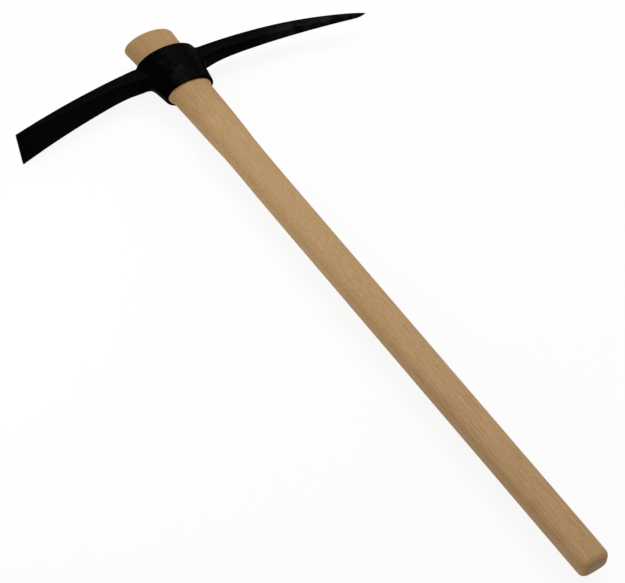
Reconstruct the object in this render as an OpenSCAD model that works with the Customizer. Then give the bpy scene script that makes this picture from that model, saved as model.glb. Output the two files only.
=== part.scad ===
// Pick axe lying on its side: a one-piece forged head on a slip-fit wooden handle.
// The handle runs along Y with its butt at -Y, and the head along X with its point at +X.
// Heights along the handle are measured from the head's level line, which crosses the eye.

/* [Handle] */
// Length of the handle from the butt to the top
handle_length = 900; // [600:5:1100]
// How far the top of the handle stands above the collar of the head
handle_proud = 40; // [15:1:60]
// Width of the shaft where the neck ends
shaft_width = 40.5; // [32:0.5:43]
// Thickness of the shaft where the neck ends
shaft_thickness = 25.5; // [22:0.5:28]
// Width of the shaft at the butt
butt_width = 35.5; // [28:0.5:42]
// Thickness of the shaft at the butt
butt_thickness = 25; // [22:0.5:28]
// Length of the neck, which narrows from the collar to the shaft
neck_length = 118; // [80:1:220]
// Squareness of the shaft's section, from 2 for an oval to 5 for a rounded rectangle
shaft_squareness = 3.5; // [2:0.1:5]
// Radius of the rounded edge round the butt
butt_round = 8; // [2:0.5:10]
// Radius of the rounded edge round the top
top_round = 4; // [2:0.5:8]

/* [Eye] */
// Width of the oval eye at the lower rim
eye_width_low = 53; // [48:0.5:56]
// Width of the oval eye at the upper rim
eye_width_high = 61; // [58:0.5:68]
// Thickness of the eye as a share of its width
eye_ratio = 0.66; // [0.62:0.01:0.72]
// Gap between the eye and the handle, all round
eye_clearance = 0.3; // [0.2:0.05:0.6]

/* [Collar] */
// Height of the collar's upper rim above the level line
collar_above = 18; // [14:0.5:28]
// Depth of the collar's lower rim below the level line
collar_below = 42; // [32:0.5:56]
// Wall of the collar at the upper rim, on the line of the arms
wall_high = 8.5; // [5:0.25:11]
// Wall of the collar at the lower rim, on the line of the arms
wall_low = 6; // [4:0.25:8]
// Depth below the level line at which the skirt of the collar starts to narrow
skirt_start = 10; // [6:0.5:24]
// Thickness of the collar as a share of its width
collar_ratio = 0.66; // [0.66:0.01:0.8]
// Bevel round the outer edge of both rims
rim_bevel = 1.5; // [0.5:0.25:2.5]

/* [Chisel arm] */
// Reach of the chisel edge from the handle's middle line
chisel_reach = 219; // [160:1:280]
// Height of the arm's upper edge above the level line, at the handle
chisel_root_rise = 17.5; // [12:0.5:19]
// Depth of the arm at the handle
chisel_root_depth = 17; // [14:0.5:26]
// Drop of the arm's middle at the chisel edge, below the level line
chisel_droop = 22.5; // [12:0.5:60]
// Depth of the arm at the chisel edge, without its bevel
chisel_tip_depth = 8; // [6:0.5:12]
// How far the arm's upper edge bows up from a straight line
chisel_bow_high = 7.5; // [4:0.5:20]
// How far the arm's lower edge bows up from a straight line
chisel_bow_low = 6.5; // [4:0.5:16]
// Width of the arm at the handle
chisel_root_width = 19; // [14:0.5:28]
// Width of the cutting edge
chisel_edge_width = 43; // [32:0.5:50]
// Length of the cutting bevel
chisel_bevel = 22; // [12:1:40]
// Thickness left at the cutting edge
chisel_edge = 3; // [1:0.25:5]

/* [Point arm] */
// Reach of the tip from the handle's middle line
point_reach = 258; // [200:1:320]
// Height of the arm's upper edge above the level line, at the handle
point_root_rise = 9.5; // [4:0.5:14]
// Depth of the arm at the handle
point_root_depth = 14; // [8:0.5:22]
// Drop of the arm's upper edge at the tip, below the level line
point_droop = 35; // [15:0.5:60]
// Depth of the arm at the tip, without its bevel
point_tip_depth = 3.5; // [2:0.25:6]
// How far the arm's upper edge bows up from a straight line
point_bow_high = 16.5; // [12:0.5:24]
// How far the arm's lower edge bows up from a straight line
point_bow_low = 10.5; // [6:0.5:12]
// Width of the arm at the handle
point_root_width = 26; // [16:0.5:30]
// Width of the arm at the tip, without its bevel
point_tip_width = 4.5; // [3:0.25:9]
// Length of the ground tip
point_grind = 9; // [5:1:24]
// Width left at the very tip
point_tip_flat = 1; // [0.6:0.1:2]

/* [Roots of the arms] */
// Reach of the web under each arm, from the handle's middle line
web_reach = 77; // [60:1:110]
// Depth of the webs below the arms' lower edges, at the handle
web_drop = 24; // [12:1:30]
// How far the webs' lower edges bow up from a straight line
web_bow = 7; // [4:0.5:8]

/* [Hidden] */
$fn = 96;
arc_sides = 720;
ring_sides = 48;
round_steps = 4;
neck_steps = 6;
cut_margin = 1;

// Heights along the handle
rim_high = collar_above;
rim_low = -collar_below;
handle_top = rim_high + handle_proud;
handle_butt = handle_top - handle_length;
neck_end = rim_low - neck_length;

// Half sizes of the eye and the collar on the line of the arms
eye_half_low = eye_width_low / 2;
eye_half_high = eye_width_high / 2;
eye_slope = (eye_half_high - eye_half_low) / (rim_high - rim_low);
collar_half_low = eye_half_low + wall_low;
collar_half_high = eye_half_high + wall_high;
collar_half_thickness = collar_half_high * collar_ratio;

// Half width of the tapered eye at a height along the handle
function eye_half(y) = eye_half_low + eye_slope * (y - rim_low);

// Smooth step from 0 to 1
function ease(t) = t * t * (3 - 2 * t);

// Value a share t of the way from a to b
function mix(a, b, t) = a + (b - a) * t;

// One coordinate of a squared-off oval, from the cosine or sine of its angle
function squared(half, c, squareness) = half * sign(c) * pow(abs(c), 2 / squareness);

// Closed ring of points round the handle at one height
function ring(y, half_x, half_z, squareness) =
    [for (i = [0:ring_sides - 1])
        let (angle = 360 * i / ring_sides)
        [squared(half_x, cos(angle), squareness), y, squared(half_z, sin(angle), squareness)]];

// Ring in line with the eye's taper, drawn in by an inset
function head_end_ring(y, inset) =
    ring(y, eye_half(y) - eye_clearance - inset, eye_half(y) * eye_ratio - eye_clearance - inset, 2);

// Ring of the neck, a share t of the way down from the lower rim
function neck_ring(t) =
    ring(mix(rim_low, neck_end, t),
        mix(eye_half_low - eye_clearance, shaft_width / 2, t),
        mix(eye_half_low * eye_ratio - eye_clearance, shaft_thickness / 2, t),
        mix(2, shaft_squareness, ease(t)));

// Ring of the butt at a rise above its face, drawn in by an inset
function butt_ring(rise, inset) =
    ring(handle_butt + rise, butt_width / 2 - inset, butt_thickness / 2 - inset, shaft_squareness);

// Height, at a distance from the handle, of an arm's edge that bow_disc draws
function bow_height(reach, heights, bow, x) =
    let (rise = heights[1] - heights[0],
        chord = norm([reach, rise]),
        radius = (chord * chord / 4 + bow * bow) / (2 * bow),
        middle_x = reach / 2 - rise / chord * (bow - radius),
        middle_y = (heights[0] + heights[1]) / 2 + reach / chord * (bow - radius))
    middle_y + sqrt(radius * radius - (x - middle_x) * (x - middle_x));

// Solid skinned over a stack of rings that climb along Y
module skin(rings) {
    last = len(rings) - 1;
    polyhedron(
        points = [for (r = rings) each r],
        faces = concat(
            [[for (i = [ring_sides - 1:-1:0]) i]],
            [[for (i = [0:ring_sides - 1]) last * ring_sides + i]],
            [for (k = [0:last - 1], i = [0:ring_sides - 1])
                let (low = k * ring_sides, high = low + ring_sides, j = (i + 1) % ring_sides)
                each [[low + i, high + j, high + i], [low + i, low + j, high + j]]]));
}

// Sets the tool down with the middle of its footprint at the origin
module lay_down() {
    translate([(chisel_reach - point_reach) / 2, -(handle_top + handle_butt) / 2, collar_half_thickness])
        children();
}

// Disc whose edge runs through two points and bows up from the line between them
module bow_disc(a, b, bow) {
    along = b - a;
    chord = norm(along);
    radius = (chord * chord / 4 + bow * bow) / (2 * bow);
    up = [-along.y, along.x] / chord;
    translate((a + b) / 2 + up * (bow - radius))
        circle(radius, $fn = arc_sides);
}

// Side view of an arm along +X, between bowed edges given by their heights at the handle and the tip
module arm_side(reach, upper, upper_bow, lower, lower_bow) {
    difference() {
        intersection() {
            bow_disc([0, upper[0]], [reach, upper[1]], upper_bow);
            translate([0, lower[1] - reach])
                square([reach, 2 * reach]);
        }
        bow_disc([0, lower[0]], [reach, lower[1]], lower_bow);
    }
}

// Side view of the web that thickens the root of an arm, with the arm's edges as in arm_side
module web_side(reach, upper, lower, lower_bow) {
    bottom = lower[0] - web_drop;
    top = (upper[0] + lower[0]) / 2;
    run_out = bow_height(reach, lower, lower_bow, web_reach) + cut_margin;
    difference() {
        translate([0, bottom - cut_margin])
            square([web_reach, top - bottom + cut_margin]);
        bow_disc([0, bottom], [web_reach, run_out], web_bow);
    }
}

// Bar with its side view in X and Y from the first child and its top view in X and Z from the second
module cut_bar(width) {
    intersection() {
        linear_extrude(width, center = true)
            children(0);
        rotate([90, 0, 0])
            linear_extrude(handle_length, center = true)
                children(1);
    }
}

// Top view of an arm that narrows or widens in straight lines through a list of places and widths
module arm_top(places) {
    count = len(places);
    polygon(concat(
        [for (p = places) [p[0], -p[1] / 2]],
        [for (i = [count - 1:-1:0]) [places[i][0], places[i][1] / 2]]));
}

// Chisel arm along +X
module chisel_arm() {
    bevel_start = chisel_reach - chisel_bevel;
    upper_tip = chisel_tip_depth / 2 - chisel_droop;
    lower_tip = upper_tip - chisel_tip_depth;
    upper = [chisel_root_rise, upper_tip];
    lower = [chisel_root_rise - chisel_root_depth, lower_tip];
    cut_bar(chisel_edge_width) {
        difference() {
            union() {
                arm_side(chisel_reach, upper, chisel_bow_high, lower, chisel_bow_low);
                web_side(chisel_reach, upper, lower, chisel_bow_low);
            }
            polygon([
                [bevel_start, lower_tip - chisel_bow_low],
                [chisel_reach + cut_margin, lower_tip - chisel_bow_low],
                [chisel_reach + cut_margin, upper_tip - chisel_edge],
                [chisel_reach, upper_tip - chisel_edge]]);
        }
        arm_top([[0, chisel_root_width], [chisel_reach, chisel_edge_width]]);
    }
}

// Point arm along +X
module point_arm() {
    grind_start = point_reach - point_grind;
    upper_tip = -point_droop;
    lower_tip = upper_tip - point_tip_depth;
    upper = [point_root_rise, upper_tip];
    lower = [point_root_rise - point_root_depth, lower_tip];
    cut_bar(point_root_width) {
        difference() {
            union() {
                arm_side(point_reach, upper, point_bow_high, lower, point_bow_low);
                web_side(point_reach, upper, lower, point_bow_low);
            }
            polygon([
                [grind_start, lower_tip - point_grind],
                [point_reach + cut_margin, lower_tip - point_grind],
                [point_reach + cut_margin, upper_tip - point_tip_flat],
                [point_reach, upper_tip - point_tip_flat]]);
        }
        arm_top([[0, point_root_width], [grind_start, point_tip_width], [point_reach, point_tip_flat]]);
    }
}

// Solid turned about the handle's middle line and squashed to an oval
module oval_turned(ratio) {
    scale([1, 1, ratio])
        rotate([-90, 0, 0])
            rotate_extrude()
                children();
}

// Outside of the collar, filled
module collar_body() {
    oval_turned(collar_ratio)
        polygon([
            [0, rim_low], [collar_half_low - rim_bevel, rim_low], [collar_half_low, rim_low + rim_bevel],
            [collar_half_high, -skirt_start], [collar_half_high, rim_high - rim_bevel],
            [collar_half_high - rim_bevel, rim_high], [0, rim_high]]);
}

// Tapered oval eye, run past both rims
module eye() {
    low = rim_low - cut_margin;
    high = rim_high + cut_margin;
    oval_turned(eye_ratio)
        polygon([[0, low], [eye_half(low), low], [eye_half(high), high], [0, high]]);
}

// Forged head: collar, point arm and chisel arm in one piece
module pick_head() {
    color([0.06, 0.06, 0.06])
        lay_down()
            difference() {
                union() {
                    collar_body();
                    point_arm();
                    mirror([1, 0, 0])
                        chisel_arm();
                }
                eye();
            }
}

// Wooden handle: butt, shaft, neck and flared head end in one piece
module handle() {
    turns = [for (i = [0:round_steps]) 90 * i / round_steps];
    butt_rings = [for (a = turns)
        butt_ring(butt_round * (1 - cos(a)), butt_round * (1 - sin(a)))];
    neck_rings = [for (i = [neck_steps:-1:0]) neck_ring(i / neck_steps)];
    top_rings = [for (a = turns)
        head_end_ring(handle_top - top_round * (1 - sin(a)), top_round * (1 - cos(a)))];
    color([0.70, 0.57, 0.41])
        lay_down()
            skin(concat(butt_rings, neck_rings, top_rings));
}

pick_head();
handle();
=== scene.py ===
"""Dresses the pick axe: a forged black head slipped on a pale wooden handle.

The handle lies along Y with its butt at -Y, and the head along X with its point at +X. The pieces
are drawn in millimetres round the level point, where the handle's middle line crosses the head's
level line. Finishes, lamps and finished meshes are in metres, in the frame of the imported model.
"""

import logging
import math
from collections.abc import Callable, Iterable, Mapping, Sequence
from dataclasses import dataclass, field
from enum import Enum

import bmesh
import bpy
from mathutils import Matrix, Vector


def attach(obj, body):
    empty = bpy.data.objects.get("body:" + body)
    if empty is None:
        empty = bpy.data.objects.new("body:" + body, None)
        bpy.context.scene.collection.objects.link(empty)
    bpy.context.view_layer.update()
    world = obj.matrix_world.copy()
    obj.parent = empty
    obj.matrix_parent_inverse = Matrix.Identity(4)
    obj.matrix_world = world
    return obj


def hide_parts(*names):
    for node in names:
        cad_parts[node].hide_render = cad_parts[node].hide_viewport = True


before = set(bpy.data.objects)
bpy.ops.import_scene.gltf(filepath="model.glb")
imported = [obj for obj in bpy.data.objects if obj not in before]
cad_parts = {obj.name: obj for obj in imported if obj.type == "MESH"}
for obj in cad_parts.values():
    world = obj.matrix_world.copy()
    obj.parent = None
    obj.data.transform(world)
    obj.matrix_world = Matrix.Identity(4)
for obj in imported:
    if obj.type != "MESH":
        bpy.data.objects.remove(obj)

log = logging.getLogger("pick_axe")

MM = 0.001
LEVEL_POINT = Vector((-19.5, 392.0, 25.74))
OVAL = 2.0
NOISE_MIDDLE = 0.5
WHITE = (1.0, 1.0, 1.0)

Pair = tuple[float, float]
Triple = tuple[float, float, float]
Colour = tuple[float, float, float]
Setting = object
Ring = list[bmesh.types.BMVert]


class Side(Enum):
    """The two ways that an arm can leave the collar along X."""

    POINT = 1
    CHISEL = -1


def between(ends: Pair, share: float) -> float:
    """Returns the value a share of the way from the first end to the second."""
    return ends[0] + (ends[1] - ends[0]) * share


def clamped(value: float) -> float:
    """Returns a value held between 0 and 1."""
    return min(1.0, max(0.0, value))


def eased(value: float, low: float, high: float) -> float:
    """Returns 0 below low and 1 above high, with a smooth rise between them."""
    share = clamped((value - low) / (high - low))
    return share * share * (3 - 2 * share)


def squared(value: float, squareness: float) -> float:
    """Pushes a cosine or sine out towards the corners of a rounded rectangle.

    Args:
        value: The cosine or sine.
        squareness: 2 for an oval, and more for a rounded rectangle.

    Returns:
        The cosine or sine to use instead.
    """
    return math.copysign(abs(value) ** (OVAL / squareness), value)


class Wire:
    """An output of a shader node that takes part in arithmetic."""

    def __init__(self, sheet: "NodeSheet", socket: bpy.types.NodeSocket) -> None:
        """Wraps one output socket.

        Args:
            sheet: The node sheet that the socket belongs to.
            socket: The output socket.
        """
        self.sheet = sheet
        self.socket = socket

    def other(self, name: str) -> "Wire":
        """Returns another output of the same node, by its name."""
        return Wire(self.sheet, self.socket.node.outputs[name])

    def __add__(self, value: "Wire | float") -> "Wire":
        """Returns this plus a value."""
        return self.sheet.math("ADD", self, value)

    def __radd__(self, value: float) -> "Wire":
        """Returns a number plus this."""
        return self.sheet.math("ADD", value, self)

    def __sub__(self, value: "Wire | float") -> "Wire":
        """Returns this less a value."""
        return self.sheet.math("SUBTRACT", self, value)

    def __rsub__(self, value: float) -> "Wire":
        """Returns a number less this."""
        return self.sheet.math("SUBTRACT", value, self)

    def __mul__(self, value: "Wire | float") -> "Wire":
        """Returns this times a value."""
        return self.sheet.math("MULTIPLY", self, value)

    def __rmul__(self, value: float) -> "Wire":
        """Returns a number times this."""
        return self.sheet.math("MULTIPLY", value, self)

    def __truediv__(self, value: "Wire | float") -> "Wire":
        """Returns this divided by a value."""
        return self.sheet.math("DIVIDE", self, value)

    def __rtruediv__(self, value: float) -> "Wire":
        """Returns a number divided by this."""
        return self.sheet.math("DIVIDE", value, self)

    def __pow__(self, value: "Wire | float") -> "Wire":
        """Returns this raised to a power."""
        return self.sheet.math("POWER", self, value)

    def __rpow__(self, value: float) -> "Wire":
        """Returns a number raised to this power."""
        return self.sheet.math("POWER", value, self)

    def fraction(self) -> "Wire":
        """Returns what is left after the whole number."""
        return self.sheet.math("FRACT", self)

    def size(self) -> "Wire":
        """Returns this without its sign."""
        return self.sheet.math("ABSOLUTE", self)

    def highest(self, value: "Wire | float") -> "Wire":
        """Returns the larger of this and a value."""
        return self.sheet.math("MAXIMUM", self, value)


class NodeSheet:
    """A node tree under construction."""

    def __init__(self, tree: bpy.types.NodeTree) -> None:
        """Starts from an emptied tree.

        Args:
            tree: The node tree of a material or a world.
        """
        self.tree = tree
        tree.nodes.clear()

    def node(
        self,
        kind: str,
        settings: Mapping[str, Setting] | None = None,
        sockets: Mapping[str | int, Setting] | None = None,
    ) -> bpy.types.Node:
        """Makes any node.

        Args:
            kind: Blender's type name of the node.
            settings: The node's own settings, set first. The setting "stops" holds a ramp's stops
                as pairs of a place and a grey level.
            sockets: Values or wires for the inputs, by name or number.

        Returns:
            The node.
        """
        made = self.tree.nodes.new(kind)
        for name, value in (settings or {}).items():
            if name == "stops":
                self._set_stops(made.color_ramp, value)
            else:
                setattr(made, name, value)
        for key, value in (sockets or {}).items():
            self._fill(self._socket(made.inputs, key), value)
        return made

    def wire(
        self,
        kind: str,
        settings: Mapping[str, Setting] | None = None,
        sockets: Mapping[str | int, Setting] | None = None,
        output: str | int = 0,
    ) -> Wire:
        """Makes any node and returns a wire from one of its outputs, by name or number."""
        return Wire(self, self._socket(self.node(kind, settings, sockets).outputs, output))

    @staticmethod
    def _set_stops(ramp: bpy.types.ColorRamp, stops: Sequence[Pair]) -> None:
        """Gives a ramp its stops.

        Args:
            ramp: The ramp, which starts with two stops.
            stops: Pairs of a place and a grey level.
        """
        while len(ramp.elements) < len(stops):
            ramp.elements.new(1.0)
        for element, (place, level) in zip(ramp.elements, stops):
            element.position = place
            element.color = (level, level, level, 1.0)

    @staticmethod
    def _socket(
        sockets: Sequence[bpy.types.NodeSocket], key: str | int
    ) -> bpy.types.NodeSocket:
        """Returns a socket by its number, or the one in use by its name."""
        if isinstance(key, int):
            return sockets[key]
        return next(s for s in sockets if s.name == key and s.enabled)

    def _fill(self, socket: bpy.types.NodeSocket, value: Setting) -> None:
        """Links a wire to an input, or sets a plain value on it.

        Args:
            socket: The input socket.
            value: A wire, a number, a colour or a vector.
        """
        if isinstance(value, Wire):
            self.tree.links.new(value.socket, socket)
        elif socket.type == "RGBA":
            socket.default_value = (*value, 1.0)
        else:
            socket.default_value = value

    def math(self, operation: str, first: Wire | float, second: Wire | float = 0.0) -> Wire:
        """Returns the result of a Math node on two values."""
        return self.wire("ShaderNodeMath", {"operation": operation}, {0: first, 1: second})

    def object_place(self) -> Wire:
        """Returns the place on the piece, in metres."""
        return self.wire("ShaderNodeTexCoord", output="Object")

    def axis(self, place: Wire, name: str) -> Wire:
        """Returns a place along X, Y or Z, from which the other two can be had."""
        return self.wire("ShaderNodeSeparateXYZ", None, {"Vector": place}, name)

    def turned(self, place: Wire, shift: Triple, turn: Triple, scale: Triple) -> Wire:
        """Shifts, turns and scales a place.

        Args:
            place: The place to start from.
            shift: Shift in metres.
            turn: Turn about X, Y and Z in radians.
            scale: Scale along X, Y and Z.

        Returns:
            The new place.
        """
        return self.wire(
            "ShaderNodeMapping",
            {"vector_type": "POINT"},
            {"Vector": place, "Location": shift, "Rotation": turn, "Scale": scale},
        )

    def noise(self, place: Wire, scale: float, detail: float, roughness: float = 0.5) -> Wire:
        """Returns smooth noise about its middle at a place."""
        return self.wire(
            "ShaderNodeTexNoise",
            None,
            {"Vector": place, "Scale": scale, "Detail": detail, "Roughness": roughness},
        )

    def smooth_step(self, value: Wire, low: float, high: float) -> Wire:
        """Returns a smooth step from 0 at low to 1 at high."""
        return self.wire(
            "ShaderNodeMapRange",
            {"interpolation_type": "SMOOTHSTEP"},
            {"Value": value, "From Min": low, "From Max": high},
        )

    def mix_colour(self, share: Wire, first: Wire | Colour, second: Wire | Colour) -> Wire:
        """Returns a colour a share of the way from the first to the second."""
        return self.wire(
            "ShaderNodeMix",
            {"data_type": "RGBA"},
            {"Factor": share, "A": first, "B": second},
            "Result",
        )

    def bump(self, height: Wire, depth: float) -> Wire:
        """Returns the normal of a surface with a relief of a depth in metres."""
        return self.wire("ShaderNodeBump", None, {"Height": height, "Distance": depth})

    def seen_directly(self) -> Wire:
        """Returns 1 for rays from the camera, off a gloss or through glass, and 0 for others."""
        camera = self.wire("ShaderNodeLightPath", output="Is Camera Ray")
        gloss, glass = camera.other("Is Glossy Ray"), camera.other("Is Transmission Ray")
        return camera.highest(gloss).highest(glass)

    def surface(self, sockets: Mapping[str, Setting]) -> None:
        """Ends the sheet with a principled surface that has these values."""
        shader = self.wire("ShaderNodeBsdfPrincipled", None, sockets)
        self.node("ShaderNodeOutputMaterial", None, {"Surface": shader})


def new_material(name: str) -> tuple[bpy.types.Material, NodeSheet]:
    """Returns a new material and the empty node sheet that it is drawn on."""
    material = bpy.data.materials.new(name)
    material.use_nodes = True
    return material, NodeSheet(material.node_tree)


@dataclass(frozen=True)
class BlackPaint:
    """Satin black paint over a forged surface, with painted sheen on the collar's crowns, and worn
    paint with painted sheen at the point.
    """

    name: str = "black_paint"
    deep: Colour = (0.0005, 0.0005, 0.0006)
    dusty: Colour = (0.0040, 0.0040, 0.0043)
    # Lighter paint: painted sheen on the collar's crowns, and worn paint with painted sheen on the
    # outer point.
    rubbed_and_sheen: Colour = (0.0095, 0.0095, 0.0102)
    gloss: float = 0.0055
    roughness: float = 0.34
    roughness_spread: float = 0.22
    mark_scale: float = 55.0
    mark_detail: float = 2.0
    mark_depth: float = 0.00035
    peel_scale: float = 700.0
    peel_detail: float = 3.0
    peel_depth: float = 0.00003
    scuff_scale: float = 165.0
    scuff_detail: float = 6.0
    scuff_roughness: float = 0.65
    dust_range: Pair = (0.52, 0.80)
    rub_and_sheen_range: Pair = (0.40, 0.66)
    rub_and_sheen_by_marks: float = 0.6
    rub_and_sheen_by_scuffs: float = 0.4
    # Where the lighter paint goes: the crowns' painted sheen by height from the middle and by place
    # along X, then the outer point's wear and painted sheen along X.
    middle: float = 0.02574
    crown_sheen: Pair = (0.0150, 0.0200)
    crown_sheen_centre: float = -0.0245
    crown_sheen_spread: Pair = (-0.0170, -0.0040)
    point_rub_and_sheen: Pair = (0.085, 0.150)

    def make(self) -> bpy.types.Material:
        """Returns the paint as a material."""
        material, sheet = new_material(self.name)
        place = sheet.object_place()
        marks = sheet.noise(place, self.mark_scale, self.mark_detail)
        peel = sheet.noise(place, self.peel_scale, self.peel_detail)
        scuffs = sheet.noise(place, self.scuff_scale, self.scuff_detail, self.scuff_roughness)
        dust = sheet.smooth_step(scuffs, *self.dust_range)
        colour = sheet.mix_colour(dust, self.deep, self.dusty)
        # Painted sheen on the collar's crowns and wear with painted sheen on the outer point,
        # broken up by the marks and scuffs.
        pattern = marks * self.rub_and_sheen_by_marks + scuffs * self.rub_and_sheen_by_scuffs
        rub_and_sheen = self._rub_and_sheen(sheet, place) * sheet.smooth_step(pattern, *self.rub_and_sheen_range)
        colour = sheet.mix_colour(rub_and_sheen, colour, self.rubbed_and_sheen)
        relief = marks + peel * (self.peel_depth / self.mark_depth)
        sheet.surface(
            {
                "Base Color": colour,
                "Roughness": self.roughness + (scuffs - NOISE_MIDDLE) * self.roughness_spread,
                "Specular IOR Level": self.gloss,
                "Normal": sheet.bump(relief, self.mark_depth),
            }
        )
        return material

    def _rub_and_sheen(self, sheet: NodeSheet, place: Wire) -> Wire:
        """Returns 1 where the paint is lighter: painted sheen on the collar's two crowns, and worn
        paint with painted sheen on the outer point.
        """
        x = sheet.axis(place, "X")
        height = (x.other("Z") - self.middle).size()
        aside = (x - self.crown_sheen_centre).size()
        crown_sheen = sheet.smooth_step(height, *self.crown_sheen)
        crown_sheen = crown_sheen * sheet.smooth_step(0.0 - aside, *self.crown_sheen_spread)
        return crown_sheen.highest(sheet.smooth_step(x, *self.point_rub_and_sheen))


@dataclass(frozen=True)
class Streak:
    """Noise that is drawn out along the grain, by its width and its length in metres."""

    width: float
    length: float
    detail: float

    def draw(self, sheet: NodeSheet, place: Wire, lean: Triple) -> Wire:
        """Draws the noise.

        Args:
            sheet: The node sheet.
            place: The place on the piece.
            lean: Turn of the grain about X, Y and Z in radians.

        Returns:
            Noise about its middle.
        """
        scale = (1.0 / self.width, 1.0 / self.length, 1.0 / self.width)
        return sheet.noise(sheet.turned(place, (0.0, 0.0, 0.0), lean, scale), 1.0, self.detail)


@dataclass(frozen=True)
class PaleWood:
    """Pale straight-grained hardwood, sanded and bare, with end grain at both ends.

    The lines of the grain are clear toward the butt, fade along the shaft into flecks, and return
    at the neck.
    """

    name: str = "handle_wood"
    pale: Colour = (0.490, 0.302, 0.136)
    tan: Colour = (0.350, 0.204, 0.083)
    pore: Colour = (0.250, 0.138, 0.052)
    end: Colour = (0.325, 0.222, 0.120)
    end_ring: Colour = (0.190, 0.122, 0.062)
    pith: Triple = (0.095, -0.040, 0.085)
    lean: Triple = (0.010, 0.0, 0.030)
    ring_spacing: float = 0.0032
    ring_wander: float = 0.9
    ring_tones: tuple[Pair, ...] = (
        (0.0, 0.55), (0.12, 0.05), (0.55, 0.25), (0.88, 1.0), (1.0, 0.55),
    )
    wander: Streak = Streak(0.045, 0.6, 2.0)
    fibres: Streak = Streak(0.0011, 0.022, 3.0)
    flecks: Streak = Streak(0.0015, 0.0040, 1.0)
    pores: Streak = Streak(0.0005, 0.009, 1.0)
    drift: Streak = Streak(0.060, 0.25, 2.0)
    grain_fade: Pair = (-0.30, 0.10)
    grain_return: Pair = (0.16, 0.34)
    return_strength: float = 0.8
    ring_strength: float = 0.34
    ring_loss: float = 0.30
    ring_fill: float = 0.126
    fibre_strength: float = 2.2
    fibre_loss: float = 1.2
    fleck_strength: float = 1.0
    fleck_gain: float = 0.4
    fleck_loss: float = 0.8
    drift_strength: float = 0.5
    # Painted shading: a darker tone from the neck to the top end, standing in for the light falling
    # off there.
    top_painted_shade: Pair = (0.245, 0.40)
    top_painted_shade_strength: float = 0.5
    least_tan: float = 0.2
    pore_range: Pair = (0.60, 0.74)
    pore_strength: float = 0.30
    pore_relief: float = 0.6
    butt_end: Pair = (0.4462, 0.4488)
    top_end: Pair = (0.4494, 0.4509)
    top_slant: float = -0.045
    top_centre: float = -0.0195
    end_strength: float = 0.85
    end_ring_strength: float = 0.7
    roughness: float = 0.58
    roughness_spread: float = 0.2
    gloss: float = 0.22
    fibre_depth: float = 0.00005

    def make(self) -> bpy.types.Material:
        """Returns the wood as a material."""
        material, sheet = new_material(self.name)
        place = sheet.object_place()
        late = self._late_wood(sheet, place)
        fibre = self.fibres.draw(sheet, place, self.lean)
        pores = sheet.smooth_step(self.pores.draw(sheet, place, self.lean), *self.pore_range)
        grain = self._grain(sheet, place, late, fibre)
        colour = sheet.mix_colour(grain, self.pale, self.tan)
        colour = sheet.mix_colour(pores * (1.0 - late) * self.pore_strength, colour, self.pore)
        ends = sheet.mix_colour(late * self.end_ring_strength, self.end, self.end_ring)
        at_ends = self._end_grain(sheet, place) * self.end_strength
        colour = sheet.mix_colour(at_ends, colour, ends)
        relief = fibre - pores * self.pore_relief
        sheet.surface(
            {
                "Base Color": colour,
                "Roughness": self.roughness + (fibre - NOISE_MIDDLE) * self.roughness_spread,
                "Specular IOR Level": self.gloss,
                "Normal": sheet.bump(relief, self.fibre_depth),
            }
        )
        return material

    def _late_wood(self, sheet: NodeSheet, place: Wire) -> Wire:
        """Returns how dark the growth rings are, from 0 to 1."""
        from_pith = sheet.turned(place, self.pith, self.lean, (1.0, 1.0, 1.0))
        x = sheet.axis(from_pith, "X")
        z = x.other("Z")
        radius = (x * x + z * z) ** 0.5
        wander = self.wander.draw(sheet, place, self.lean) * self.ring_wander
        growth = (radius / self.ring_spacing + wander).fraction()
        return sheet.wire("ShaderNodeValToRGB", {"stops": self.ring_tones}, {"Fac": growth})

    def _grain(self, sheet: NodeSheet, place: Wire, late: Wire, fibre: Wire) -> Wire:
        """Puts together the lines, flecks and shades of the grain, with painted shading toward the
        top end.

        Args:
            sheet: The node sheet.
            place: The place on the piece.
            late: How dark the growth rings are.
            fibre: The noise of the fibres.

        Returns:
            How far the wood goes from pale to tan.
        """
        height = sheet.axis(place, "Y")
        flecks = self.flecks.draw(sheet, place, self.lean) - NOISE_MIDDLE
        drift = self.drift.draw(sheet, place, self.lean) - NOISE_MIDDLE
        returned = sheet.smooth_step(height, *self.grain_return) * self.return_strength
        faded = sheet.smooth_step(height, *self.grain_fade) * (1.0 - returned)
        # Painted shading: darker toward the neck and the top end.
        painted_shade = sheet.smooth_step(height, *self.top_painted_shade) * self.top_painted_shade_strength
        rings = late * (self.ring_strength - faded * self.ring_loss) + faded * self.ring_fill
        lines = (fibre - NOISE_MIDDLE) * (self.fibre_strength - faded * self.fibre_loss)
        fleck_share = self.fleck_strength + faded * self.fleck_gain - returned * self.fleck_loss
        grain = rings + lines + flecks * fleck_share
        return grain + drift * self.drift_strength + painted_shade + self.least_tan

    def _end_grain(self, sheet: NodeSheet, place: Wire) -> Wire:
        """Returns 1 on both end faces and 0 along the handle."""
        height = sheet.axis(place, "Y")
        level = height - (height.other("X") - self.top_centre) * self.top_slant
        top = sheet.smooth_step(level, *self.top_end)
        return top.highest(sheet.smooth_step(0.0 - height, *self.butt_end))


@dataclass(frozen=True)
class StudioWhite:
    """Matt white floor that still takes a soft shadow."""

    name: str = "studio_white"
    colour: Colour = (0.97, 0.97, 0.97)
    glow: float = 0.90

    def make(self) -> bpy.types.Material:
        """Returns the floor's material."""
        material, sheet = new_material(self.name)
        matt = sheet.wire("ShaderNodeBsdfDiffuse", None, {"Color": self.colour})
        white = sheet.wire("ShaderNodeEmission", None, {"Color": WHITE, "Strength": 1.0})
        seen = sheet.seen_directly() * self.glow
        mixed = sheet.wire("ShaderNodeMixShader", None, {0: seen, 1: matt, 2: white})
        sheet.node("ShaderNodeOutputMaterial", None, {"Surface": mixed})
        return material


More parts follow.
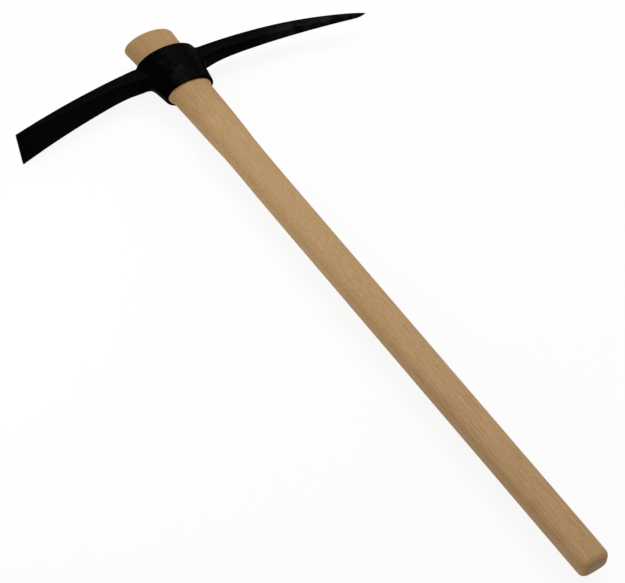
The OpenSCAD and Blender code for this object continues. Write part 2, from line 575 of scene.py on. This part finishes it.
class MeshWork:
    """A mesh under construction, in millimetres round the level point."""

    def __init__(self) -> None:
        """Starts with nothing."""
        self.bm = bmesh.new()

    def ring(self, count: int, place: Callable[[float], Vector], first: float = 0.0) -> Ring:
        """Adds a closed ring.

        Args:
            count: Number of vertices, a multiple of four.
            place: Gives the place of a vertex from its angle in radians.
            first: Angle of the first vertex.

        Returns:
            The vertices in order of their angles.
        """
        made = bmesh.ops.create_circle(self.bm, segments=count, radius=1.0)
        step = math.tau / count
        verts: Ring = [made["verts"][0]] * count
        for vert in made["verts"]:
            verts[round(math.atan2(vert.co.y, vert.co.x) / step) % count] = vert
        for number, vert in enumerate(verts):
            vert.co = place(first + number * step)
        return verts

    def bridge(self, rings: Sequence[Ring], closed: bool) -> None:
        """Joins rings with faces, each to the next.

        Args:
            rings: The rings in order.
            closed: Whether the last ring is joined to the first.
        """
        pairs = list(zip(rings, rings[1:]))
        if closed:
            pairs.append((rings[-1], rings[0]))
        for low, high in pairs:
            for number in range(len(low)):
                corners = [low[number - 1], low[number], high[number], high[number - 1]]
                bmesh.ops.contextual_create(self.bm, geom=corners)

    def cap(self, ring: Ring) -> None:
        """Closes a ring with one flat face."""
        members = set(ring)
        edges = {e for v in ring for e in v.link_edges if e.other_vert(v) in members}
        bmesh.ops.contextual_create(self.bm, geom=list(edges))

    def finish(self, name: str, smooth_levels: int) -> bpy.types.Object:
        """Writes the mesh to a new piece in the model's frame.

        Args:
            name: Name of the piece.
            smooth_levels: Levels of subdivision.

        Returns:
            The piece, with no material yet.
        """
        bmesh.ops.translate(self.bm, verts=self.bm.verts, vec=LEVEL_POINT)
        bmesh.ops.scale(self.bm, verts=self.bm.verts, vec=(MM, MM, MM))
        bmesh.ops.recalc_face_normals(self.bm, faces=self.bm.faces)
        mesh = bpy.data.meshes.new(name)
        self.bm.to_mesh(mesh)
        self.bm.free()
        mesh.shade_smooth()
        piece = bpy.data.objects.new(name, mesh)
        bpy.context.scene.collection.objects.link(piece)
        smooth = piece.modifiers.new("smooth", "SUBSURF")
        smooth.levels = smooth_levels
        smooth.render_levels = smooth_levels
        return piece


@dataclass(frozen=True)
class TaperedEye:
    """The oval eye that the handle fills, between the collar's lower rim and its upper one."""

    rim_low: float = -42.0
    rim_high: float = 18.2
    halves: Pair = (29.0, 31.0)
    ratio: float = 0.59
    middles: Pair = (0.5, 0.9)
    middle_run: float = 22.0

    def share(self, y: float) -> float:
        """Returns how far a height lies on the way from the lower rim to the upper one."""
        return (y - self.rim_low) / (self.rim_high - self.rim_low)

    def half(self, y: float) -> float:
        """Returns the eye's half width at a height."""
        return between(self.halves, self.share(y))

    def middle(self, y: float) -> float:
        """Returns how far the eye's middle lies from the middle line at a height."""
        return between(self.middles, clamped((y - self.rim_low) / self.middle_run))


@dataclass(frozen=True)
class BowedEdge:
    """An edge of an arm that bows up between the handle and the tip, with a web at its root."""

    at_handle: float
    at_tip: float
    bow: float
    reach: float
    web_drop: float = 0.0
    web_start: float = 37.0
    web_run: float = 40.0

    def height(self, x: float) -> float:
        """Returns the edge's height at a distance from the handle's middle line."""
        rise = self.at_tip - self.at_handle
        chord = math.hypot(self.reach, rise)
        radius = (chord * chord / 4 + self.bow * self.bow) / (2 * self.bow)
        middle_x = self.reach / 2 - rise / chord * (self.bow - radius)
        middle_y = (self.at_handle + self.at_tip) / 2 + self.reach / chord * (self.bow - radius)
        arc = middle_y + math.sqrt(radius * radius - (x - middle_x) ** 2)
        web = max(0.0, 1 - (x - self.web_start) / self.web_run)
        return arc - self.web_drop * web * web


@dataclass(frozen=True)
class Section:
    """A rounded rectangular cut through an arm, square to X."""

    x: float
    upper: float
    lower: float
    width: float
    corner: float
    twist: float = 0.0
    skew: float = 0.0
    corner_limit: float = 0.42

    def place(self, across: int, up: int) -> Vector:
        """Gives the place of one of the sixteen points of the cut.

        Args:
            across: Column from 0 at -Z to 3 at +Z.
            up: Row from 0 at the lower edge to 3 at the upper edge.

        Returns:
            The place, with X as the distance from the handle.
        """
        half = self.width / 2
        round_z = min(self.corner, self.corner_limit * self.width)
        round_y = min(self.corner, self.corner_limit * (self.upper - self.lower))
        z = (-half, -half + round_z, half - round_z, half)[across]
        y = (self.lower, self.lower + round_y, self.upper - round_y, self.upper)[up]
        if across in (0, 3) and up in (0, 3):
            ease = 1 - math.sqrt(0.5)
            z -= math.copysign(round_z * ease, z)
            y += (round_y if up == 0 else -round_y) * ease
        return Vector((self.x + self.skew * z, y + self.twist * z, z))


@dataclass
class PickHead:
    """The forging: an oval collar with a point arm and a chisel arm."""

    node: str = "pick_head"
    body: str = "head"
    slot: str = "black_paint"
    eye: TaperedEye = TaperedEye()
    sides: int = 20
    smooth_levels: int = 3
    tilt: float = -0.045
    collar_halves: Pair = (32.3, 41.0)
    collar_ratios: Pair = (0.61, 0.628)
    collar_squareness: float = 2.05
    skirt_levels: Pair = (-32.0, -23.0)
    rim_round: float = 1.4
    outer_inset: float = 0.42
    inner_inset: float = 0.14
    arm_columns: tuple[int, ...] = (-2, -1, 0, 1)
    row_shares: tuple[float, ...] = (0.0, 0.3, 0.7, 1.0)
    row_margin: float = 0.8
    stations: tuple[float, ...] = (45.0, 53.0, 63.0, 77.0, 93.0, 112.0, 134.0, 156.0, 178.0)
    root_corner: float = 2.4
    tip_corner: float = 0.8
    chisel_reach: float = 220.0
    chisel_upper: BowedEdge = BowedEdge(18.5, -18.1, 6.0, chisel_reach)
    chisel_lower: BowedEdge = BowedEdge(-1.5, -28.2, 6.2, chisel_reach, 7.0)
    chisel_widths: Pair = (19.0, 43.0)
    chisel_twist: float = 0.16
    chisel_twist_start: float = 90.0
    chisel_skew: float = 0.06
    chisel_ends: tuple[float, ...] = (22.0, 5.0, 0.6, 0.0)
    point_reach: float = 258.0
    point_upper: BowedEdge = BowedEdge(9.3, -35.3, 16.6, point_reach)
    point_lower: BowedEdge = BowedEdge(-5.6, -40.0, 9.7, point_reach, 6.5)
    point_widths: Pair = (17.5, 4.5)
    point_fullness: float = 2.2
    point_flare: float = 10.0
    point_flare_run: float = 130.0
    point_ends: tuple[float, ...] = (58.0, 38.0, 22.0, 9.0)
    tip_width: float = 1.0
    tip_corner_share: float = 0.25
    tip_steps: tuple[Pair, ...] = ((0.5, 1.15), (0.0, 1.0))
    work: MeshWork = field(default_factory=MeshWork)

    def build(self) -> bpy.types.Object:
        """Returns the head as one piece."""
        rows = self._collar()
        self._arm(rows, Side.POINT, self._point_sections())
        self._arm(rows, Side.CHISEL, self._chisel_sections())
        return self.work.finish("head_forging", self.smooth_levels)

    def dress(self, piece: bpy.types.Object, paint: BlackPaint) -> None:
        """Paints the head and ties it to its body.

        Args:
            piece: The head.
            paint: Its finish.
        """
        piece.data.materials.append(paint.make())
        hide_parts(self.node)
        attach(piece, self.body)

    def _outer_half(self, y: float) -> float:
        """Returns the collar's half width at a height."""
        return between(self.collar_halves, self.eye.share(y))

    def _outer_ratio(self, y: float) -> float:
        """Returns the collar's thickness at a height, as a share of its width."""
        return between(self.collar_ratios, self.eye.share(y))

    def _oval(
        self, half: float, ratio: float, height: Callable[[float], float], squareness: float = OVAL
    ) -> Ring:
        """Adds an oval ring round the handle.

        Args:
            half: Half width of the oval.
            ratio: Thickness of the oval as a share of its width.
            height: Gives the height from the angle.
            squareness: 2 for a true oval, and more for one with fuller corners.

        Returns:
            The ring's vertices, drawn wider so that they come out true when smoothed.
        """
        wide = half * 3 / (2 + math.cos(math.tau / self.sides))

        def place(angle: float) -> Vector:
            """Gives the place of a vertex of the oval."""
            y = height(angle)
            x = wide * squared(math.cos(angle), squareness)
            z = wide * ratio * squared(math.sin(angle), squareness)
            return Vector((self.eye.middle(y) + x, y, z))

        return self.work.ring(self.sides, place, math.pi / self.sides)

    def _arm_height(self, row: int) -> Callable[[float], float]:
        """Gives the heights of one of the four rings that the arms grow from.

        Args:
            row: Row from 0 at the arms' lower edges to 3 at their upper edges.

        Returns:
            A function from the angle to the height.
        """
        x = self.collar_halves[1]
        top = self.eye.rim_high - self.rim_round - self.row_margin
        lower = (self.point_lower.height(x), self.chisel_lower.height(x))
        upper = (self.point_upper.height(x), min(top, self.chisel_upper.height(x)))

        def height(angle: float) -> float:
            """Gives the height at an angle."""
            to_chisel = (1 - math.cos(angle)) / 2
            edges = (between(lower, to_chisel), between(upper, to_chisel))
            return between(edges, self.row_shares[row])

        return height

    def _collar(self) -> list[Ring]:
        """Makes the collar.

        Returns:
            The four rings that the arms grow from.
        """
        bevel = self.rim_round
        low, high = self.eye.rim_low, self.eye.rim_high

        def tilted(y: float) -> Callable[[float], float]:
            """Gives the heights of a ring that sits askew on the handle."""
            return lambda angle: y + self.tilt * self._outer_half(y) * math.cos(angle)

        def outer(y: float, inset: float = 0.0) -> Ring:
            """Adds a ring on the collar's outside."""
            half, ratio = self._outer_half(y) - inset, self._outer_ratio(y)
            return self._oval(half, ratio, tilted(y), self.collar_squareness)

        def inner(y: float, inset: float = 0.0) -> Ring:
            """Adds a ring on the wall of the eye."""
            return self._oval(self.eye.half(y) + inset, self.eye.ratio, tilted(y))

        def rim(y: float) -> Ring:
            """Adds a ring in the middle of a rim."""
            half = (self._outer_half(y) + self.eye.half(y)) / 2
            return self._oval(half, (self._outer_ratio(y) + self.eye.ratio) / 2, tilted(y))

        rows = []
        for row in range(len(self.row_shares)):
            height = self._arm_height(row)
            level = height(math.pi / 2)
            half, ratio = self._outer_half(level), self._outer_ratio(level)
            rows.append(self._oval(half, ratio, height, self.collar_squareness))
        rings = [
            rim(low),
            outer(low, self.outer_inset),
            outer(low + bevel),
            *(outer(level) for level in self.skirt_levels),
            *rows,
            outer(high - bevel),
            outer(high, self.outer_inset),
            rim(high),
            inner(high, self.inner_inset),
            inner(high - bevel),
            inner((low + high) / 2),
            inner(low + bevel),
            inner(low, self.inner_inset),
        ]
        self.work.bridge(rings, closed=True)
        return rows

    def _corner(self, share: float) -> float:
        """Returns the rounding of an arm's edges, a share of the way from the handle to its end."""
        return between((self.root_corner, self.tip_corner), share)

    def _point_sections(self) -> list[Section]:
        """Returns the cuts along the point arm, from the collar to the tip."""
        reach, upper, lower = self.point_reach, self.point_upper, self.point_lower
        grind = reach - self.point_ends[-1]
        made = []
        for x in (*self.stations, *(reach - run for run in self.point_ends)):
            share = x / grind
            width = between(self.point_widths, share**self.point_fullness)
            width += self.point_flare * max(0.0, 1 - x / self.point_flare_run) ** 2
            made.append(Section(x, upper.height(x), lower.height(x), width, self._corner(share)))
        for run, swell in self.tip_steps:
            size, top = self.tip_width * swell, upper.height(reach - run)
            corner = self.tip_width * self.tip_corner_share
            made.append(Section(reach - run, top, top - size, size, corner))
        return made

    def _chisel_sections(self) -> list[Section]:
        """Returns the cuts along the chisel arm, from the collar to the cutting edge."""
        reach, start = self.chisel_reach, self.chisel_twist_start
        made = []
        for x in (*self.stations, *(reach - run for run in self.chisel_ends)):
            share = x / reach
            width = between(self.chisel_widths, share)
            turned = max(0.0, (x - start) / (reach - start)) ** 2
            twist, skew = self.chisel_twist * turned, self.chisel_skew * turned
            rise = twist * width / 2
            upper, lower = self.chisel_upper.height(x) - rise, self.chisel_lower.height(x) + rise
            made.append(Section(x, upper, lower, width, self._corner(share), twist, skew))
        return made

    def _arm(self, rows: Sequence[Ring], side: Side, sections: Iterable[Section]) -> None:
        """Draws an arm out of the collar's wall.

        Args:
            rows: The four rings that the arms grow from.
            side: Which way the arm goes.
            sections: The cuts that it passes through.
        """
        to_point = side is Side.POINT
        columns = self.arm_columns if to_point else self.arm_columns[::-1]
        middle = 0 if to_point else self.sides // 2
        grid = {
            (across, up): ring[(middle + column) % self.sides]
            for across, column in enumerate(columns)
            for up, ring in enumerate(rows)
        }
        members = set(grid.values())
        faces = [f for f in self.work.bm.faces if members.issuperset(f.verts)]
        for section in sections:
            keys = {tuple(vert.co): key for key, vert in grid.items()}
            edges = list({edge for face in faces for edge in face.edges})
            made = bmesh.ops.extrude_face_region(self.work.bm, geom=faces + edges)["geom"]
            faces = [item for item in made if isinstance(item, bmesh.types.BMFace)]
            verts = [item for item in made if isinstance(item, bmesh.types.BMVert)]
            grid = {keys[tuple(vert.co)]: vert for vert in verts}
            for (across, up), vert in grid.items():
                place = section.place(across, up)
                vert.co = (place.x * side.value, place.y, place.z)


@dataclass
class Handle:
    """The wooden handle: butt, shaft, neck and flared head end."""

    node: str = "handle"
    body: str = "handle"
    slot: str = "handle_wood"
    eye: TaperedEye = TaperedEye()
    eye_clearance: float = 0.3
    eye_levels: Pair = (-10.0, 20.0)
    sides: int = 48
    smooth_levels: int = 1
    top: float = 59.2
    top_round: float = 4.0
    top_shoulder: float = 12.0
    top_slant: float = -0.045
    top_shift: float = 0.3
    top_flare: float = 1.2
    slant_span: Pair = (-62.0, -50.0)
    neck_end: float = -160.0
    neck_size: Pair = (52.4, 34.4)
    neck_rings: int = 8
    swell_length: float = 5.0
    swell_parts: tuple[float, ...] = (1.35, 1.0, 0.8, 0.6, 0.4, 0.2)
    shaft_size: Pair = (40.8, 25.5)
    shaft_rings: int = 14
    squareness: float = 3.5
    bend: float = 0.9
    bend_span: Pair = (-235.0, -150.0)
    bend_end: Pair = (-80.0, -42.0)
    waist: float = 0.4
    waist_level: float = -182.0
    waist_spread: float = 26.0
    butt: float = -841.0
    butt_size: Pair = (36.2, 25.0)
    butt_round: float = 8.0
    butt_slant: float = 0.030
    round_steps: int = 6
    face_shares: Pair = (0.35, 0.7)
    work: MeshWork = field(default_factory=MeshWork)

    def build(self) -> bpy.types.Object:
        """Returns the handle as one piece."""
        rings = [
            *self._butt_rings(),
            *self._shaft_rings(),
            *self._neck_rings(),
            *self._top_rings(),
        ]
        self.work.bridge(rings, closed=False)
        self.work.cap(rings[0])
        self.work.cap(rings[-1])
        return self.work.finish("handle_stick", self.smooth_levels)

    def dress(self, piece: bpy.types.Object, wood: PaleWood) -> None:
        """Gives the handle its wood and ties it to its body.

        Args:
            piece: The handle.
            wood: Its finish.
        """
        piece.data.materials.append(wood.make())
        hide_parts(self.node)
        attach(piece, self.body)

    def _to_top(self, y: float) -> float:
        """Returns 0 up to the collar's upper rim, and 1 at the top."""
        return max(0.0, (y - self.eye.rim_high) / (self.top - self.eye.rim_high))

    def _middle(self, y: float) -> float:
        """Returns how far the wood's middle lies off the middle line, by the bend and the eye."""
        bend = self.bend * eased(y, *self.bend_span)
        eye = between((self.eye.middle(y), self.top_shift), self._to_top(y))
        return between((bend, eye), eased(y, *self.bend_end))

    def _ring(self, y: float, half_x: float, half_z: float, squareness: float) -> Ring:
        """Adds a squared-off oval round the handle.

        Args:
            y: Height of the ring.
            half_x: Half width, before the waist and the flare.
            half_z: Half thickness.
            squareness: 2 for an oval, and more for a rounded rectangle.

        Returns:
            The ring's vertices.
        """
        from_waist = (y - self.waist_level) / self.waist_spread
        wide = half_x - self.waist * math.exp(-(from_waist**2)) + self.top_flare * self._to_top(y)
        slant = self.top_slant * eased(y, *self.slant_span)
        if y < self.butt + self.butt_round:
            slant = self.butt_slant
        middle = self._middle(y)

        def place(angle: float) -> Vector:
            """Gives the place of a vertex of the ring."""
            x = wide * squared(math.cos(angle), squareness)
            z = half_z * squared(math.sin(angle), squareness)
            return Vector((middle + x, y + slant * x, z))

        return self.work.ring(self.sides, place)

    def _turns(self) -> list[float]:
        """Returns the angles of the steps in a rounded edge, from 0 to a quarter turn."""
        return [math.pi / 2 * step / self.round_steps for step in range(self.round_steps + 1)]

    def _butt_rings(self) -> list[Ring]:
        """Returns the rings of the butt, from the middle of its face to the start of the shaft."""
        half_x, half_z = self.butt_size[0] / 2, self.butt_size[1] / 2
        size = self.butt_round
        rings = []
        for share in self.face_shares:
            face_x, face_z = (half_x - size) * share, (half_z - size) * share
            rings.append(self._ring(self.butt, face_x, face_z, self.squareness))
        for angle in self._turns():
            inset = size * (1 - math.sin(angle))
            y = self.butt + size * (1 - math.cos(angle))
            rings.append(self._ring(y, half_x - inset, half_z - inset, self.squareness))
        return rings

    def _shaft_rings(self) -> list[Ring]:
        """Returns the rings along the shaft."""
        start = self.butt + self.butt_round
        rings = []
        for number in range(1, self.shaft_rings):
            share = number / self.shaft_rings
            half_x, half_z = (
                between(ends, share) / 2 for ends in zip(self.butt_size, self.shaft_size)
            )
            y = between((start, self.neck_end), share)
            rings.append(self._ring(y, half_x, half_z, self.squareness))
        return rings

    def _neck_rings(self) -> list[Ring]:
        """Returns the rings of the neck, from the shaft to the swell under the collar."""
        rim = self.eye.rim_low
        length = rim - self.neck_end
        shares = [1 - number / self.neck_rings for number in range(self.neck_rings)]
        shares += [self.swell_length * part / length for part in self.swell_parts]
        half = self.eye.half(rim)
        at_rim = (half - self.eye_clearance, half * self.eye.ratio - self.eye_clearance)
        rings = []
        for share in shares:
            swell = 1 - eased(share * length, 0.0, self.swell_length)
            half_x, half_z = (
                between((neck, shaft), share) / 2 + (full - neck / 2) * swell
                for neck, shaft, full in zip(self.neck_size, self.shaft_size, at_rim)
            )
            squareness = between((OVAL, self.squareness), eased(share, 0.0, 1.0))
            rings.append(self._ring(rim - length * share, half_x, half_z, squareness))
        return rings

    def _top_rings(self) -> list[Ring]:
        """Returns the rings from the collar's lower rim to the middle of the top face."""
        top, size = self.top, self.top_round
        levels = (self.eye.rim_low, *self.eye_levels, top - self.top_shoulder)
        steps = [(y, 0.0, 1.0) for y in levels]
        for angle in self._turns():
            inset = size * (1 - math.cos(angle))
            steps.append((top - size * (1 - math.sin(angle)), inset, 1.0))
        steps += [(top, size, share) for share in reversed(self.face_shares)]
        rings = []
        for y, inset, share in steps:
            half, gap = self.eye.half(y), self.eye_clearance + inset
            half_x, half_z = (half - gap) * share, (half * self.eye.ratio - gap) * share
            rings.append(self._ring(y, half_x, half_z, OVAL))
        return rings


@dataclass(frozen=True)
class Viewpoint:
    """The camera, placed by where the level point shows in the picture.

    Angles are in degrees, and lengths in millimetres.
    """

    azimuth: float = -34.8457
    elevation: float = 49.44374
    roll: float = -2.57187
    picture: tuple[int, int] = (625, 583)
    level_point_pixel: Pair = (171.897, 70.504)
    distance: float = 2636.52
    focal_pixels: float = 2175.01
    sensor: float = 36.0

    def build(self) -> bpy.types.Object:
        """Returns the scene's camera."""
        azimuth, elevation = math.radians(self.azimuth), math.radians(self.elevation)
        out = math.cos(elevation)
        back = Vector((math.sin(azimuth) * out, -math.cos(azimuth) * out, math.sin(elevation)))
        right = Vector((math.cos(azimuth), math.sin(azimuth), 0.0))
        level = Matrix((right, back.cross(right), back))
        turn = (Matrix.Rotation(math.radians(self.roll), 3, "Z") @ level).transposed()
        width, height = self.picture
        across = self.level_point_pixel[0] - width / 2
        down = self.level_point_pixel[1] - height / 2
        scale = self.distance / self.focal_pixels
        seen = Vector((across * scale, -down * scale, -self.distance))
        place = (LEVEL_POINT - turn @ seen) * MM
        data = bpy.data.cameras.new("camera")
        data.sensor_fit = "HORIZONTAL"
        data.sensor_width = self.sensor
        data.lens = self.focal_pixels * self.sensor / width
        camera = bpy.data.objects.new("camera", data)
        camera.matrix_world = Matrix.Translation(place) @ turn.to_4x4()
        bpy.context.scene.collection.objects.link(camera)
        bpy.context.scene.camera = camera
        return camera


@dataclass(frozen=True)
class SoftBox:
    """A square lamp that faces the tool, by its direction, distance, size and power."""

    name: str
    toward: Triple
    distance: float
    size: float
    power: float

    def build(self, target: Vector) -> bpy.types.Object:
        """Hangs the lamp.

        Args:
            target: The place that it faces.

        Returns:
            The lamp.
        """
        data = bpy.data.lights.new(self.name, "AREA")
        data.shape = "SQUARE"
        data.size = self.size
        data.energy = self.power
        lamp = bpy.data.objects.new(self.name, data)
        away = Vector(self.toward).normalized()
        turn = away.to_track_quat("Z", "Y").to_matrix().to_4x4()
        lamp.matrix_world = Matrix.Translation(target + away * self.distance) @ turn
        bpy.context.scene.collection.objects.link(lamp)
        return lamp


@dataclass(frozen=True)
class Studio:
    """A white floor under soft light."""

    floor_size: float = 12.0
    sky: float = 0.42
    finish: StudioWhite = StudioWhite()
    aim: Triple = (0.0, 0.1, 0.0)
    lamps: tuple[SoftBox, ...] = (
        SoftBox("key", (0.40, 0.42, 0.81), 2.4, 1.5, 34.4),
        SoftBox("fill", (-0.74, 0.24, 0.40), 0.62, 0.35, 0.85),
    )

    def build(self) -> None:
        """Lays the floor, sets the sky and hangs the lamps."""
        self._floor()
        self._sky()
        for lamp in self.lamps:
            lamp.build(Vector(self.aim))
        bpy.context.scene.view_settings.view_transform = "Standard"

    def _floor(self) -> None:
        """Lays the floor that the tool lies on."""
        bm = bmesh.new()
        bmesh.ops.create_grid(bm, x_segments=1, y_segments=1, size=self.floor_size / 2)
        mesh = bpy.data.meshes.new("floor")
        bm.to_mesh(mesh)
        bm.free()
        floor = bpy.data.objects.new("floor", mesh)
        mesh.materials.append(self.finish.make())
        bpy.context.scene.collection.objects.link(floor)

    def _sky(self) -> None:
        """Sets an even sky that looks white."""
        world = bpy.data.worlds.new("sky")
        world.use_nodes = True
        sheet = NodeSheet(world.node_tree)
        dim, white = (
            sheet.wire("ShaderNodeBackground", None, {"Color": WHITE, "Strength": strength})
            for strength in (self.sky, 1.0)
        )
        seen = sheet.seen_directly()
        mixed = sheet.wire("ShaderNodeMixShader", None, {0: seen, 1: dim, 2: white})
        sheet.node("ShaderNodeOutputWorld", None, {"Surface": mixed})
        bpy.context.scene.world = world


def main() -> None:
    """Builds the camera, the studio and the two pieces of the tool."""
    logging.basicConfig(level=logging.INFO, format="%(name)s: %(message)s")
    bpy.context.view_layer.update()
    Viewpoint().build()
    Studio().build()
    for maker, finish in ((PickHead(), BlackPaint()), (Handle(), PaleWood())):
        piece = maker.build()
        maker.dress(piece, finish)
        faces = len(piece.data.polygons)
        log.info("%s rides on %s with %d faces", piece.name, maker.body, faces)


if __name__ == "__main__":
    main()
